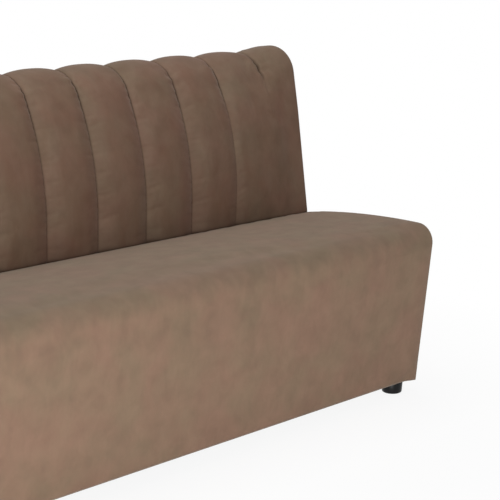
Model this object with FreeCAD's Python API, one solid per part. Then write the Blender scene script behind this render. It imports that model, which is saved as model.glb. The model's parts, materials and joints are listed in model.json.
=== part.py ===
import FreeCAD, Part
import math
import os

# An armless upholstered banquette with a channelled back, in millimetres.
# X runs along the seat, Y runs to the rear and Z runs up from the floor.
# Profiles are drawn with depths counted from the front edge of the seat.

Vec = FreeCAD.Vector

# Lengths along X
SEAT_LENGTH = 1828.0
BACK_OVERHANG = 1.0

# Feet and the skirt line
FOOT_HEIGHT = 38.0
FOOT_RADIUS = 31.0
FOOT_TAPER = 2.0
FOOT_EDGE = 5.0
FOOT_FROM_END = 64.0
FOOT_FROM_SKIRT = 41.0
DUST_THICK = 1.0
DUST_INSET = 12.0

# Seat profile
FRONT_KICK = 40.0
SEAT_DEPTH = 489.0
SEAT_CROWN_HEIGHT = 498.0
CROWN_FALL = 37.0
CROWN_SETBACK = 85.0
FRONT_EDGE_RADIUS = 52.0
SEAT_END_RADIUS = 9.0

# Layers of the upholstery
COVER_THICK = 2.0
LAYER_GAP = 0.3
SEAT_WRAP_THICK = 10.0
FOAM_REAR_THICK = 60.0
COVER_LIP = 28.0

# Seat box
BOARD_THICK = 18.0
RAIL_THICK = 28.0
RAIL_HEIGHT = 60.0
RIB_COUNT = 3
RIB_HOLLOW = 45.0
BLOCK_HEIGHT = 45.0
BLOCK_LENGTH = 118.0
BLOCK_WIDTH = 80.0
CLOTH_THICK = 1.5
WEB_THICK = 2.0
WEB_WIDTH = 60.0
WEB_CROSS_COUNT = 12
WEB_LONG_COUNT = 3

# Back profile, drawn along the seams between the channels
BACK_STRAIGHT = 96.0
BACK_BEND_RADIUS = 700.0
BACK_BEND_ANGLE = 27.2
BACK_ROLL_RADIUS = 103.0
BACK_TOP_FLAT = 2.0
BACK_REAR_RADIUS = 46.0
BACK_REAR_DROP = 36.0
BACK_TUCK = 50.0

# Channels of the back
CHANNEL_COUNT = 9
END_CHANNEL_WIDTH = 133.0
CHANNEL_BULGE = 14.0
END_BULGE = 18.0
TUCK_BULGE = 5.0
TAPER_RISE = 4.0
END_FLAT = 4.0
END_WRAP = 31.0
PAD_BASE = 8.0
SEAT_BACK_GAP = 0.5

# Back frame
POST_THICK = 21.0
POST_INNER_SHARE = 0.34
PANEL_THICK = 6.0
FRAME_SETBACK = 33.0
FRAME_TOP_DROP = 12.0
BACK_RAIL_THICK = 22.0
BACK_RAIL_HEIGHT = 60.0
TOP_RAIL_DEPTH = 46.0
TOP_RAIL_HEIGHT = 34.0
END_PAD_THICK = 20.0
OUTER_BOARD_THICK = 3.0
OUTER_WADDING_THICK = 10.0

# Studs of the feet, and the play around a piece that is let in
STUD_RADIUS = 4.0
STUD_DEPTH = 18.0
STUD_BITE = 30.0
BORE_GAP = 0.2

# Overshoot of a cutting shape, and how closely edges are told apart
CUT_OVER = 1.0
SNAP = 0.01

# Levels and stations that follow from the sizes above
BACK_LENGTH = SEAT_LENGTH + 2.0 * BACK_OVERHANG
SEAT_REAR_HEIGHT = SEAT_CROWN_HEIGHT - CROWN_FALL
SKIRT_Z = FOOT_HEIGHT + DUST_THICK
BOARD_Z = SKIRT_Z + COVER_THICK
DECK_Z = SEAT_REAR_HEIGHT - FOAM_REAR_THICK
END_BOARD_TOP = DECK_Z - CLOTH_THICK - WEB_THICK
RAIL_TOP = END_BOARD_TOP - WEB_THICK
RAIL_LOW = RAIL_TOP - RAIL_HEIGHT
SEAT_BACK = SEAT_DEPTH - TUCK_BULGE - SEAT_BACK_GAP
SEAT_END = SEAT_LENGTH / 2.0
BACK_END = BACK_LENGTH / 2.0
WRAP_INSET = COVER_THICK + LAYER_GAP
BOARD_INSET = WRAP_INSET + SEAT_WRAP_THICK
FOAM_INSET = BOARD_INSET + LAYER_GAP
BOARD_END = SEAT_END - BOARD_INSET
BOARD_INNER = BOARD_INSET + BOARD_THICK
TUCK_Z = SEAT_REAR_HEIGHT - BACK_TUCK
TAPER_Z = SEAT_REAR_HEIGHT + TAPER_RISE
BEND_Z = SEAT_REAR_HEIGHT + BACK_STRAIGHT
BEND = math.radians(BACK_BEND_ANGLE)
PITCH = (BACK_LENGTH - 2.0 * END_CHANNEL_WIDTH) / CHANNEL_COUNT
HALF = PITCH / 2.0
LAST_SEAM = BACK_END - END_CHANNEL_WIDTH
POST_OUTER = BACK_END - COVER_THICK - LAYER_GAP - END_PAD_THICK
FOAM_END = POST_OUTER - POST_THICK - LAYER_GAP

# Centres of the three arcs of the back profile, as depth and height
BEND_C = (SEAT_DEPTH + BACK_BEND_RADIUS, BEND_Z)
ROLL_SHIFT = BACK_BEND_RADIUS - BACK_ROLL_RADIUS
ROLL_C = (BEND_C[0] - ROLL_SHIFT * math.cos(BEND), BEND_Z + ROLL_SHIFT * math.sin(BEND))
REAR_C = (ROLL_C[0] + BACK_TOP_FLAT, ROLL_C[1] + BACK_ROLL_RADIUS - BACK_REAR_RADIUS)
REAR_PLANE = REAR_C[0] + BACK_REAR_RADIUS
ROLL_END_Z = REAR_C[1] - BACK_REAR_DROP
DEPTH = REAR_PLANE + END_BULGE
FRAME_REAR = REAR_PLANE - COVER_THICK - OUTER_WADDING_THICK - OUTER_BOARD_THICK - 2.0 * LAYER_GAP
FRAME_TOP = ROLL_C[1] + BACK_ROLL_RADIUS - FRAME_SETBACK - FRAME_TOP_DROP

os.makedirs("parts", exist_ok=True)


def at(x, depth, z):
    """Point of the part at a depth behind the front edge of the seat."""
    return Vec(x, depth - DEPTH / 2.0, z)


def save(node, shape):
    """Write one node."""
    shape.exportStep("parts/" + node + ".step")


def line(a, b):
    return Part.LineSegment(a, b).toShape()


def arc(a, mid, b):
    return Part.Arc(a, mid, b).toShape()


def prism(edges, x_from, x_to):
    """Extrude closed edges, drawn at X = 0, between two stations along X."""
    face = Part.Face(Part.Wire(edges))
    face.translate(Vec(x_from, 0, 0))
    return face.extrude(Vec(x_to - x_from, 0, 0))


def outline(points):
    """Closed edges at X = 0 through (depth, height) points."""
    corners = [at(0, d, z) for d, z in points]
    return [line(a, b) for a, b in zip(corners, corners[1:] + corners[:1])]


def slab(points, x_from, x_to):
    return prism(outline(points), x_from, x_to)


def brick(x_from, x_to, d_from, d_to, z_from, z_to):
    """Plain block between two stations on each axis."""
    corners = [(d_from, z_from), (d_to, z_from), (d_to, z_to), (d_from, z_to)]
    return slab(corners, x_from, x_to)


def rod(radius, base, direction, length):
    return Part.makeCylinder(radius, length, base, direction)


def grown(box, gap):
    """Same block, larger by a gap on each side, for cutting a housing."""
    b = box.BoundBox
    low = Vec(b.XMin - gap, b.YMin - gap, b.ZMin - gap)
    return Part.makeBox(b.XLength + 2 * gap, b.YLength + 2 * gap, b.ZLength + 2 * gap, low)


def mirrored(shape):
    return shape.mirror(Vec(0, 0, 0), Vec(1, 0, 0))


# Seat profile: sloped front, rounded front edge and a crown that falls to the rear

CROWN_RUN = SEAT_DEPTH - CROWN_SETBACK
CROWN_RADIUS = (CROWN_RUN ** 2 + CROWN_FALL ** 2) / (2.0 * CROWN_FALL)
CROWN_C = (CROWN_SETBACK, SEAT_CROWN_HEIGHT - CROWN_RADIUS)
EDGE_REACH = CROWN_RADIUS - FRONT_EDGE_RADIUS
EDGE_RISE = math.sqrt(EDGE_REACH ** 2 - (CROWN_SETBACK - FRONT_EDGE_RADIUS) ** 2)
EDGE_C = (FRONT_EDGE_RADIUS, CROWN_C[1] + EDGE_RISE)
TO_EDGE = (EDGE_C[0] - FRONT_KICK, EDGE_C[1] - SKIRT_Z)
TO_EDGE_LENGTH = math.hypot(TO_EDGE[0], TO_EDGE[1])
FRONT_ANGLE = math.atan2(TO_EDGE[1], TO_EDGE[0]) + math.asin(FRONT_EDGE_RADIUS / TO_EDGE_LENGTH)
FRONT_NORMAL = (-math.sin(FRONT_ANGLE), math.cos(FRONT_ANGLE))
EDGE_TOP = ((EDGE_C[0] - CROWN_C[0]) / EDGE_REACH, (EDGE_C[1] - CROWN_C[1]) / EDGE_REACH)


def front_point(inset, z):
    """Point on the front slope, moved inwards by an inset, at a height."""
    d = EDGE_C[0] + (FRONT_EDGE_RADIUS - inset) * FRONT_NORMAL[0]
    zt = EDGE_C[1] + (FRONT_EDGE_RADIUS - inset) * FRONT_NORMAL[1]
    return (d + (z - zt) / math.tan(FRONT_ANGLE), z)


def crown_z(inset, depth):
    return CROWN_C[1] + math.sqrt((CROWN_RADIUS - inset) ** 2 - (depth - CROWN_C[0]) ** 2)


def seat_edges(inset, z_low, d_rear):
    """Closed seat profile at an inset, from a low level up and back to a rear plane."""
    r = FRONT_EDGE_RADIUS - inset
    mid = (FRONT_NORMAL[0] + EDGE_TOP[0], FRONT_NORMAL[1] + EDGE_TOP[1])
    mid_length = math.hypot(mid[0], mid[1])
    low = at(0, *front_point(inset, z_low))
    start = at(0, EDGE_C[0] + r * FRONT_NORMAL[0], EDGE_C[1] + r * FRONT_NORMAL[1])
    turn = at(0, EDGE_C[0] + r * mid[0] / mid_length, EDGE_C[1] + r * mid[1] / mid_length)
    top_d = EDGE_C[0] + r * EDGE_TOP[0]
    top = at(0, top_d, EDGE_C[1] + r * EDGE_TOP[1])
    half_d = (top_d + d_rear) / 2.0
    crown = at(0, half_d, crown_z(inset, half_d))
    rear = at(0, d_rear, crown_z(inset, d_rear))
    foot = at(0, d_rear, z_low)
    edges = [line(low, start), arc(start, turn, top), arc(top, crown, rear)]
    return edges + [line(rear, foot), line(foot, low)]


def seat_body(inset, z_low, d_rear, half_length, end_radius):
    """Seat profile along X, with the edges of both ends rounded."""
    body = prism(seat_edges(inset, z_low, d_rear), -half_length, half_length)
    rear_y = d_rear - DEPTH / 2.0
    rounded = []
    for edge in body.Edges:
        b = edge.BoundBox
        at_end = b.XLength < SNAP
        at_rear = b.YMin > rear_y - SNAP
        at_low = b.ZMax < z_low + SNAP
        if at_end and not at_rear and not at_low:
            rounded.append(edge)
    return body.makeFillet(end_radius, rounded)


# Seat box boards, rails, ribs and corner blocks

front_corners = [
    front_point(BOARD_INSET, BOARD_Z),
    front_point(BOARD_INSET, DECK_Z),
    front_point(BOARD_INNER, DECK_Z),
    front_point(BOARD_INNER, BOARD_Z),
]
save("base_front_board", slab(front_corners, -BOARD_END, BOARD_END))

rear_board_front = SEAT_BACK - BOARD_THICK
save("base_rear_board", brick(-BOARD_END, BOARD_END, rear_board_front, SEAT_BACK, BOARD_Z, DECK_Z))

end_corners = [
    front_point(BOARD_INNER, BOARD_Z),
    front_point(BOARD_INNER, END_BOARD_TOP),
    (rear_board_front, END_BOARD_TOP),
    (rear_board_front, BOARD_Z),
]
end_inner = BOARD_END - BOARD_THICK
end_board = slab(end_corners, end_inner, BOARD_END)
save("base_end_board_R", end_board)
save("base_end_board_L", mirrored(end_board))

rail_inner = BOARD_INNER + RAIL_THICK
front_rail_corners = [
    front_point(BOARD_INNER, RAIL_LOW),
    front_point(BOARD_INNER, RAIL_TOP),
    front_point(rail_inner, RAIL_TOP),
    front_point(rail_inner, RAIL_LOW),
]
save("seat_rail_front", slab(front_rail_corners, -end_inner, end_inner))
rear_rail_front = rear_board_front - RAIL_THICK
save("seat_rail_rear", brick(-end_inner, end_inner, rear_rail_front, rear_board_front, RAIL_LOW, RAIL_TOP))

rib_low = at(0, *front_point(BOARD_INNER, BOARD_Z))
rib_high = at(0, *front_point(BOARD_INNER, RAIL_LOW))
hollow_from = front_point(rail_inner, RAIL_LOW)[0]
hollow_mid = at(0, (hollow_from + rear_rail_front) / 2.0, RAIL_LOW - RIB_HOLLOW)
rib_edges = [
    line(rib_low, rib_high),
    line(rib_high, at(0, hollow_from, RAIL_LOW)),
    arc(at(0, hollow_from, RAIL_LOW), hollow_mid, at(0, rear_rail_front, RAIL_LOW)),
    line(at(0, rear_rail_front, RAIL_LOW), at(0, rear_board_front, RAIL_LOW)),
    line(at(0, rear_board_front, RAIL_LOW), at(0, rear_board_front, BOARD_Z)),
    line(at(0, rear_board_front, BOARD_Z), rib_low),
]
rib_pitch = 2.0 * end_inner / (RIB_COUNT + 1)
for i in range(RIB_COUNT):
    rib_x = -end_inner + rib_pitch * (i + 1)
    save("base_rib_%d" % (i + 1), prism(rib_edges, rib_x - BOARD_THICK / 2.0, rib_x + BOARD_THICK / 2.0))

# Feet, their studs and the blocks they go into

foot_x = SEAT_END - FOOT_FROM_END
front_foot_d = FRONT_KICK + FOOT_FROM_SKIRT
rear_foot_d = FRAME_REAR - FOOT_FROM_SKIRT
foot_rows = [("feet_front", front_foot_d), ("feet_rear", rear_foot_d)]
stud_bore_r = STUD_RADIUS + BORE_GAP
stud_low = FOOT_HEIGHT - STUD_DEPTH


def foot_shape():
    """Turned foot with a chamfered lower edge and a blind bore for its stud."""
    low_r = FOOT_RADIUS - FOOT_TAPER
    corners = [
        Vec(0, 0, 0),
        Vec(low_r - FOOT_EDGE, 0, 0),
        Vec(low_r, 0, FOOT_EDGE),
        Vec(FOOT_RADIUS, 0, FOOT_HEIGHT),
        Vec(stud_bore_r, 0, FOOT_HEIGHT),
        Vec(stud_bore_r, 0, stud_low),
        Vec(0, 0, stud_low),
    ]
    profile = Part.Face(Part.makePolygon(corners + corners[:1]))
    return profile.revolve(Vec(0, 0, 0), Vec(0, 0, 1), 360)


foot = foot_shape()
studs = []
stud_bores = []
stud_length = BOARD_Z + STUD_BITE - stud_low
up = Vec(0, 0, 1)
for name, d in foot_rows:
    pair = []
    for x in (-foot_x, foot_x):
        placed = foot.copy()
        placed.translate(at(x, d, 0))
        pair.append(placed)
        studs.append(rod(STUD_RADIUS, at(x, d, stud_low), up, stud_length))
        stud_bores.append(rod(stud_bore_r, at(x, d, stud_low), up, stud_length))
    save(name, Part.makeCompound(pair))
save("foot_studs", Part.makeCompound(studs))

block_top = BOARD_Z + BLOCK_HEIGHT
front_block_corners = [
    front_point(BOARD_INNER, BOARD_Z),
    front_point(BOARD_INNER, block_top),
    (front_point(BOARD_INNER, BOARD_Z)[0] + BLOCK_WIDTH, block_top),
    (front_point(BOARD_INNER, BOARD_Z)[0] + BLOCK_WIDTH, BOARD_Z),
]
front_block = slab(front_block_corners, end_inner - BLOCK_LENGTH, end_inner)
low_rail_front = FRAME_REAR - BACK_RAIL_THICK
post_inner = POST_OUTER - POST_THICK
rear_block = brick(
    post_inner - BLOCK_LENGTH, post_inner, low_rail_front - BLOCK_WIDTH, low_rail_front, SKIRT_Z, block_top
)
front_blocks = [front_block.cut(stud_bores), mirrored(front_block).cut(stud_bores)]
rear_blocks = [rear_block.cut(stud_bores), mirrored(rear_block).cut(stud_bores)]
save("foot_blocks_front", Part.makeCompound(front_blocks))
save("foot_blocks_rear", Part.makeCompound(rear_blocks))

dust_rear = REAR_PLANE - DUST_INSET
dust_end = SEAT_END - DUST_INSET
dust = brick(-dust_end, dust_end, FRONT_KICK + DUST_INSET, dust_rear, FOOT_HEIGHT, SKIRT_Z)
save("dust_cover", dust.cut(stud_bores))

# Webbing, platform cloth and foam of the seat

web_front = front_point(BOARD_INNER, RAIL_TOP)[0]
web_span = rear_board_front - web_front
cross_pitch = 2.0 * end_inner / WEB_CROSS_COUNT
cross_straps = []
for i in range(WEB_CROSS_COUNT):
    strap_x = -end_inner + cross_pitch * (i + 0.5)
    strap = brick(
        strap_x - WEB_WIDTH / 2.0,
        strap_x + WEB_WIDTH / 2.0,
        web_front + LAYER_GAP,
        rear_board_front,
        RAIL_TOP,
        RAIL_TOP + WEB_THICK,
    )
    cross_straps.append(strap)
save("webbing_cross", Part.makeCompound(cross_straps))

long_pitch = web_span / WEB_LONG_COUNT
long_straps = []
for i in range(WEB_LONG_COUNT):
    strap_d = web_front + long_pitch * (i + 0.5)
    strap = brick(
        -BOARD_END,
        BOARD_END,
        strap_d - WEB_WIDTH / 2.0,
        strap_d + WEB_WIDTH / 2.0,
        END_BOARD_TOP,
        END_BOARD_TOP + WEB_THICK,
    )
    long_straps.append(strap)
save("webbing_long", Part.makeCompound(long_straps))

cloth_front = front_point(BOARD_INNER, DECK_Z - CLOTH_THICK)[0] + LAYER_GAP
cloth = brick(-BOARD_END, BOARD_END, cloth_front, rear_board_front, DECK_Z - CLOTH_THICK, DECK_Z)
save("platform_cloth", cloth)

foam_end = BOARD_END - LAYER_GAP
save("seat_foam", prism(seat_edges(FOAM_INSET, DECK_Z, SEAT_BACK), -foam_end, foam_end))

wrap_radius = SEAT_END_RADIUS - WRAP_INSET
wrap = seat_body(WRAP_INSET, BOARD_Z, SEAT_BACK, SEAT_END - WRAP_INSET, wrap_radius)
wrap_core = prism(seat_edges(BOARD_INSET, BOARD_Z - CUT_OVER, SEAT_BACK + CUT_OVER), -BOARD_END, BOARD_END)
save("seat_wrap", wrap.cut(wrap_core))

# Seat cover: one cloth over top and front, turned in below, with a panel sewn in at each end

cover = seat_body(0.0, SKIRT_Z, SEAT_BACK, SEAT_END, SEAT_END_RADIUS)
cover_radius = SEAT_END_RADIUS - COVER_THICK
cover_core = seat_body(COVER_THICK, BOARD_Z, SEAT_BACK + CUT_OVER, SEAT_END - COVER_THICK, cover_radius)
lip_end = SEAT_END - COVER_LIP
lip_hole = brick(
    -lip_end,
    lip_end,
    FRONT_KICK + COVER_LIP,
    SEAT_BACK + CUT_OVER,
    SKIRT_Z - CUT_OVER,
    BOARD_Z + CUT_OVER,
)
end_panel = prism(
    seat_edges(SEAT_END_RADIUS, BOARD_Z, SEAT_BACK), SEAT_END - COVER_THICK, SEAT_END
)
end_panels = [end_panel, mirrored(end_panel)]
save("seat_cover", cover.cut([cover_core, lip_hole] + end_panels))
save("seat_end_cover_R", end_panels[0])
save("seat_end_cover_L", end_panels[1])


# Back profile along the seams, moved outwards by an offset

def back_front_edges(offset, z_low):
    """Edges up the front, over the roll and down the rear, and their two end points."""
    rb = BACK_BEND_RADIUS + offset
    rr = BACK_ROLL_RADIUS + offset
    rt = BACK_REAR_RADIUS + offset
    roll_mid = (BEND + math.pi / 2.0) / 2.0
    low = at(0, SEAT_DEPTH - offset, z_low)
    bend = at(0, SEAT_DEPTH - offset, BEND_Z)
    half = at(0, BEND_C[0] - rb * math.cos(BEND / 2.0), BEND_Z + rb * math.sin(BEND / 2.0))
    lean = at(0, BEND_C[0] - rb * math.cos(BEND), BEND_Z + rb * math.sin(BEND))
    turn = at(0, ROLL_C[0] - rr * math.cos(roll_mid), ROLL_C[1] + rr * math.sin(roll_mid))
    top = at(0, ROLL_C[0], ROLL_C[1] + rr)
    flat = at(0, REAR_C[0], REAR_C[1] + rt)
    fall = at(0, REAR_C[0] + rt * math.sqrt(0.5), REAR_C[1] + rt * math.sqrt(0.5))
    rear = at(0, REAR_C[0] + rt, REAR_C[1])
    end = at(0, REAR_C[0] + rt, ROLL_END_Z)
    edges = [line(low, bend), arc(bend, half, lean), arc(lean, turn, top), line(top, flat)]
    edges = edges + [arc(flat, fall, rear), line(rear, end)]
    return edges, low, end


def along_back(section_at):
    """Carry a cross section from the tuck, up the front, over the roll and down the rear.

    section_at gives closed edges in the plane of a level for a channel bulge and an end bulge.
    """
    x_axis = Vec(-1, 0, 0)
    flat = section_at(TUCK_BULGE, TUCK_BULGE)
    full = section_at(CHANNEL_BULGE, END_BULGE)
    low = Part.Face(Part.Wire(flat))
    low.translate(Vec(0, 0, TUCK_Z))
    low_wire = Part.Wire(flat)
    low_wire.translate(Vec(0, 0, TAPER_Z))
    high_wire = Part.Wire(full)
    high_wire.translate(Vec(0, 0, BEND_Z))
    face = Part.Face(Part.Wire(full))
    face.translate(Vec(0, 0, BEND_Z))
    pieces = [low.extrude(Vec(0, 0, TAPER_Z - TUCK_Z))]
    pieces.append(Part.makeLoft([low_wire, high_wire], True, True))
    pieces.append(face.revolve(at(0, *BEND_C), x_axis, BACK_BEND_ANGLE))
    face.rotate(at(0, *BEND_C), x_axis, BACK_BEND_ANGLE)
    pieces.append(face.revolve(at(0, *ROLL_C), x_axis, 90.0 - BACK_BEND_ANGLE))
    face.rotate(at(0, *ROLL_C), x_axis, 90.0 - BACK_BEND_ANGLE)
    pieces.append(face.extrude(Vec(0, BACK_TOP_FLAT, 0)))
    face.translate(Vec(0, BACK_TOP_FLAT, 0))
    pieces.append(face.revolve(at(0, *REAR_C), x_axis, 90.0))
    face.rotate(at(0, *REAR_C), x_axis, 90.0)
    pieces.append(face.extrude(Vec(0, 0, -BACK_REAR_DROP)))
    return pieces[0].multiFuse(pieces[1:]).removeSplitter()


def spot(x, n):
    """Point of a cross section, at an offset outwards from the seam line, at height zero."""
    return at(x, SEAT_DEPTH - n, 0)


class Hump:
    """Arc of one channel, by its centre and radius in the plane of X and offset."""

    def __init__(self, x, bulge, half):
        self.x = x
        self.r = (half ** 2 + bulge ** 2) / (2.0 * bulge)
        self.n = bulge - self.r

    def point(self, x):
        return spot(x, self.n + math.sqrt(self.r ** 2 - (x - self.x) ** 2))

    def span(self, a, b):
        return arc(self.point(a), self.point((a + b) / 2.0), self.point(b))


# Station where the last channel is fullest, just before it turns round the end
END_CREST = BACK_END - END_BULGE - END_WRAP - END_FLAT


def humps(bulge, end_bulge):
    """Humps of all channels from left to right."""
    end_half = END_CREST - LAST_SEAM
    row = [Hump(-END_CREST, end_bulge, end_half)]
    for i in range(CHANNEL_COUNT):
        row.append(Hump(-LAST_SEAM + PITCH * (i + 0.5), bulge, HALF))
    row.append(Hump(END_CREST, end_bulge, end_half))
    return row


def end_turn(side, end_bulge):
    """Edges from the crest of the last channel round the end, from the inside out."""
    r = end_bulge + END_WRAP
    crest = spot(side * END_CREST, end_bulge)
    start = spot(side * (BACK_END - r), end_bulge)
    reach = r * math.sqrt(0.5)
    mid = spot(side * (BACK_END - r + reach), end_bulge - r + reach)
    stop = spot(side * BACK_END, -END_WRAP)
    return [line(crest, start), arc(start, mid, stop)], stop


def channel_section(bulge, end_bulge):
    """Cross section of the stuffed channels, flat behind and turned round both ends."""
    seams = [-LAST_SEAM + PITCH * i for i in range(CHANNEL_COUNT + 1)]
    stations = [-END_CREST] + seams + [END_CREST]
    left, left_stop = end_turn(-1, end_bulge)
    right, right_stop = end_turn(1, end_bulge)
    chain = left[::-1]
    for hump, a, b in zip(humps(bulge, end_bulge), stations, stations[1:]):
        chain.append(hump.span(a, b))
    inner = FOAM_END + LAYER_GAP
    corners = [
        right_stop,
        spot(inner, -END_WRAP),
        spot(inner, -PAD_BASE),
        spot(-inner, -PAD_BASE),
        spot(-inner, -END_WRAP),
        left_stop,
    ]
    return chain + right + [line(p, q) for p, q in zip(corners, corners[1:])]


# Back frame: flat panel on cut posts, joined by rails let into them

lean_r = BACK_BEND_RADIUS - FRAME_SETBACK
PANEL_LOW = (SEAT_DEPTH + FRAME_SETBACK, TUCK_Z)
PANEL_HIGH = (BEND_C[0] - lean_r * math.cos(BEND), BEND_Z + lean_r * math.sin(BEND))
panel_run = (PANEL_HIGH[0] - PANEL_LOW[0], PANEL_HIGH[1] - PANEL_LOW[1])
panel_length = math.hypot(panel_run[0], panel_run[1])
panel_step = PANEL_THICK * panel_length / panel_run[1]
panel_back_low = (PANEL_LOW[0] + panel_step, PANEL_LOW[1])
panel_back_high = (PANEL_HIGH[0] + panel_step, PANEL_HIGH[1])
panel_corners = [PANEL_LOW, PANEL_HIGH, panel_back_high, panel_back_low]
save("back_panel", slab(panel_corners, -POST_OUTER, POST_OUTER))

roll_r = BACK_ROLL_RADIUS - FRAME_SETBACK
top_front_d = ROLL_C[0] - math.sqrt(roll_r ** 2 - (FRAME_TOP - ROLL_C[1]) ** 2)
top_rear_d = REAR_C[0] + BACK_REAR_RADIUS - FRAME_SETBACK
step_z = ROLL_END_Z - LAYER_GAP
post_corners = [
    (SEAT_BACK, SKIRT_Z),
    (SEAT_BACK, TUCK_Z),
    panel_back_low,
    panel_back_high,
    (top_front_d + panel_step, FRAME_TOP),
    (top_rear_d, FRAME_TOP),
    (top_rear_d, step_z),
    (FRAME_REAR, step_z),
    (FRAME_REAR, SKIRT_Z),
]
rail_x = POST_OUTER
joint_rail_z = (SKIRT_Z + TUCK_Z) / 2.0
rails = {
    "back_joint_rail": brick(
        -rail_x,
        rail_x,
        SEAT_BACK,
        SEAT_BACK + BACK_RAIL_THICK,
        joint_rail_z - BACK_RAIL_HEIGHT / 2.0,
        joint_rail_z + BACK_RAIL_HEIGHT / 2.0,
    ),
    "back_tack_rail": brick(
        -rail_x, rail_x, SEAT_BACK, SEAT_BACK + BACK_RAIL_THICK, TUCK_Z - BACK_RAIL_HEIGHT, TUCK_Z
    ),
    "back_low_rail": brick(
        -rail_x, rail_x, low_rail_front, FRAME_REAR, SKIRT_Z, SKIRT_Z + BACK_RAIL_HEIGHT
    ),
    "back_top_rail": brick(
        -rail_x, rail_x, top_rear_d - TOP_RAIL_DEPTH, top_rear_d, FRAME_TOP - TOP_RAIL_HEIGHT, FRAME_TOP
    ),
}
housings = [grown(rail, BORE_GAP / 2.0) for rail in rails.values()]
inner_post_x = POST_OUTER * POST_INNER_SHARE
post_places = [
    ("back_post_1", -POST_OUTER),
    ("back_post_2", -inner_post_x - POST_THICK / 2.0),
    ("back_post_3", inner_post_x - POST_THICK / 2.0),
    ("back_post_4", POST_OUTER - POST_THICK),
]
for name, x in post_places:
    save(name, slab(post_corners, x, x + POST_THICK).cut(housings))
for name, rail in rails.items():
    save(name, rail)

# Foam of the back, stepped in at the ends where the last fillings turn round it

frame_corners = [
    (PANEL_LOW[0] - LAYER_GAP, PANEL_LOW[1]),
    (PANEL_HIGH[0] - LAYER_GAP, PANEL_HIGH[1]),
    (top_front_d, FRAME_TOP + LAYER_GAP),
    (top_rear_d + LAYER_GAP, FRAME_TOP + LAYER_GAP),
    (top_rear_d + LAYER_GAP, ROLL_END_Z),
]


def foam_edges(offset):
    """Foam between the frame and the back profile moved inwards."""
    outer, low, end = back_front_edges(-offset, TUCK_Z)
    frame_line = [at(0, d, z) for d, z in frame_corners]
    inside = [line(p, q) for p, q in zip(frame_line, frame_line[1:])]
    return outer + [line(end, frame_line[-1])] + inside[::-1] + [line(frame_line[0], low)]


foam_wide = prism(foam_edges(PAD_BASE + LAYER_GAP), -FOAM_END, FOAM_END)
foam_step = prism(foam_edges(END_WRAP + LAYER_GAP), -POST_OUTER, POST_OUTER)
save("back_foam", foam_wide.fuse(foam_step).removeSplitter())

# Channelled back: velvet sewn into stuffed channels, in one panel

save("channel_back", along_back(channel_section))


# Ends and rear of the back

def end_edges(offset, d_front, d_rear):
    """Outline of an end of the back inside the channelled cover, down to the skirt line."""
    outer, low, end = back_front_edges(-offset, TUCK_Z)
    corners = [
        end,
        at(0, d_rear, ROLL_END_Z),
        at(0, d_rear, SKIRT_Z),
        at(0, d_front, SKIRT_Z),
        at(0, d_front, TUCK_Z),
        low,
    ]
    return outer + [line(p, q) for p, q in zip(corners, corners[1:])]


end_cover = prism(end_edges(END_WRAP, SEAT_BACK, REAR_PLANE), BACK_END - COVER_THICK, BACK_END)
save("back_end_cover_R", end_cover)
save("back_end_cover_L", mirrored(end_cover))
pad_rear = REAR_PLANE - COVER_THICK - LAYER_GAP
back_end_pad = prism(
    end_edges(END_WRAP + LAYER_GAP, SEAT_BACK, pad_rear), POST_OUTER, POST_OUTER + END_PAD_THICK
)
save("back_end_pad_R", back_end_pad)
save("back_end_pad_L", mirrored(back_end_pad))

board_rear = FRAME_REAR + OUTER_BOARD_THICK
save("outside_back_board", brick(-POST_OUTER, POST_OUTER, FRAME_REAR, board_rear, SKIRT_Z, step_z))
wadding_front = board_rear + LAYER_GAP
wadding_rear = wadding_front + OUTER_WADDING_THICK
save(
    "outside_back_wadding",
    brick(-POST_OUTER + LAYER_GAP, POST_OUTER - LAYER_GAP, wadding_front, wadding_rear, SKIRT_Z, step_z),
)
cover_end = BACK_END - COVER_THICK
save(
    "outside_back_cover",
    brick(-cover_end, cover_end, REAR_PLANE - COVER_THICK, REAR_PLANE, SKIRT_Z, ROLL_END_Z),
)
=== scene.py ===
import bpy
import json
import math
from mathutils import Matrix, Vector, noise


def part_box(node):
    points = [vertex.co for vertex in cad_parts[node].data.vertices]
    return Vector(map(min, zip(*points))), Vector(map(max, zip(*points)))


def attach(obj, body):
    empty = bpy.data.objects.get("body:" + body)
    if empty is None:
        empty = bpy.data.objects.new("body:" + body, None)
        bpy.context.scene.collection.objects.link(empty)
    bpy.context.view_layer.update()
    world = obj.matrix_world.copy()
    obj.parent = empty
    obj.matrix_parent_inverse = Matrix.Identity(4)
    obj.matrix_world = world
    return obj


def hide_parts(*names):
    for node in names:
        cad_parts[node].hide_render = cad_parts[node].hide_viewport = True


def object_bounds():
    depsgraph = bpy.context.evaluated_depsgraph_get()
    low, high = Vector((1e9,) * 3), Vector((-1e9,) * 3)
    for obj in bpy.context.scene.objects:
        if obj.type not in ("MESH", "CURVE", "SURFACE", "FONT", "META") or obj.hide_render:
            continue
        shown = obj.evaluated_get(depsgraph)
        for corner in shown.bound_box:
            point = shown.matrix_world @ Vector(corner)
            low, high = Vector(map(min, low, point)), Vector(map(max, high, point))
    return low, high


# Dresses the channelled banquette in velvet: metres, +Z up, the front towards -Y.

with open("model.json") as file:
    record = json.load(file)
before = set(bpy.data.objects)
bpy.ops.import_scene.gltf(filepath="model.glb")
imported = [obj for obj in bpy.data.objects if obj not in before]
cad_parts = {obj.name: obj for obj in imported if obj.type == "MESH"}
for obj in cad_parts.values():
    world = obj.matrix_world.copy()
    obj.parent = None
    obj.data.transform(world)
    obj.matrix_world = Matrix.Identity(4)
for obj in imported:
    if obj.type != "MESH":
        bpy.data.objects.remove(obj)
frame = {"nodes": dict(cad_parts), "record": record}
cad_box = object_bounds()

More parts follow.
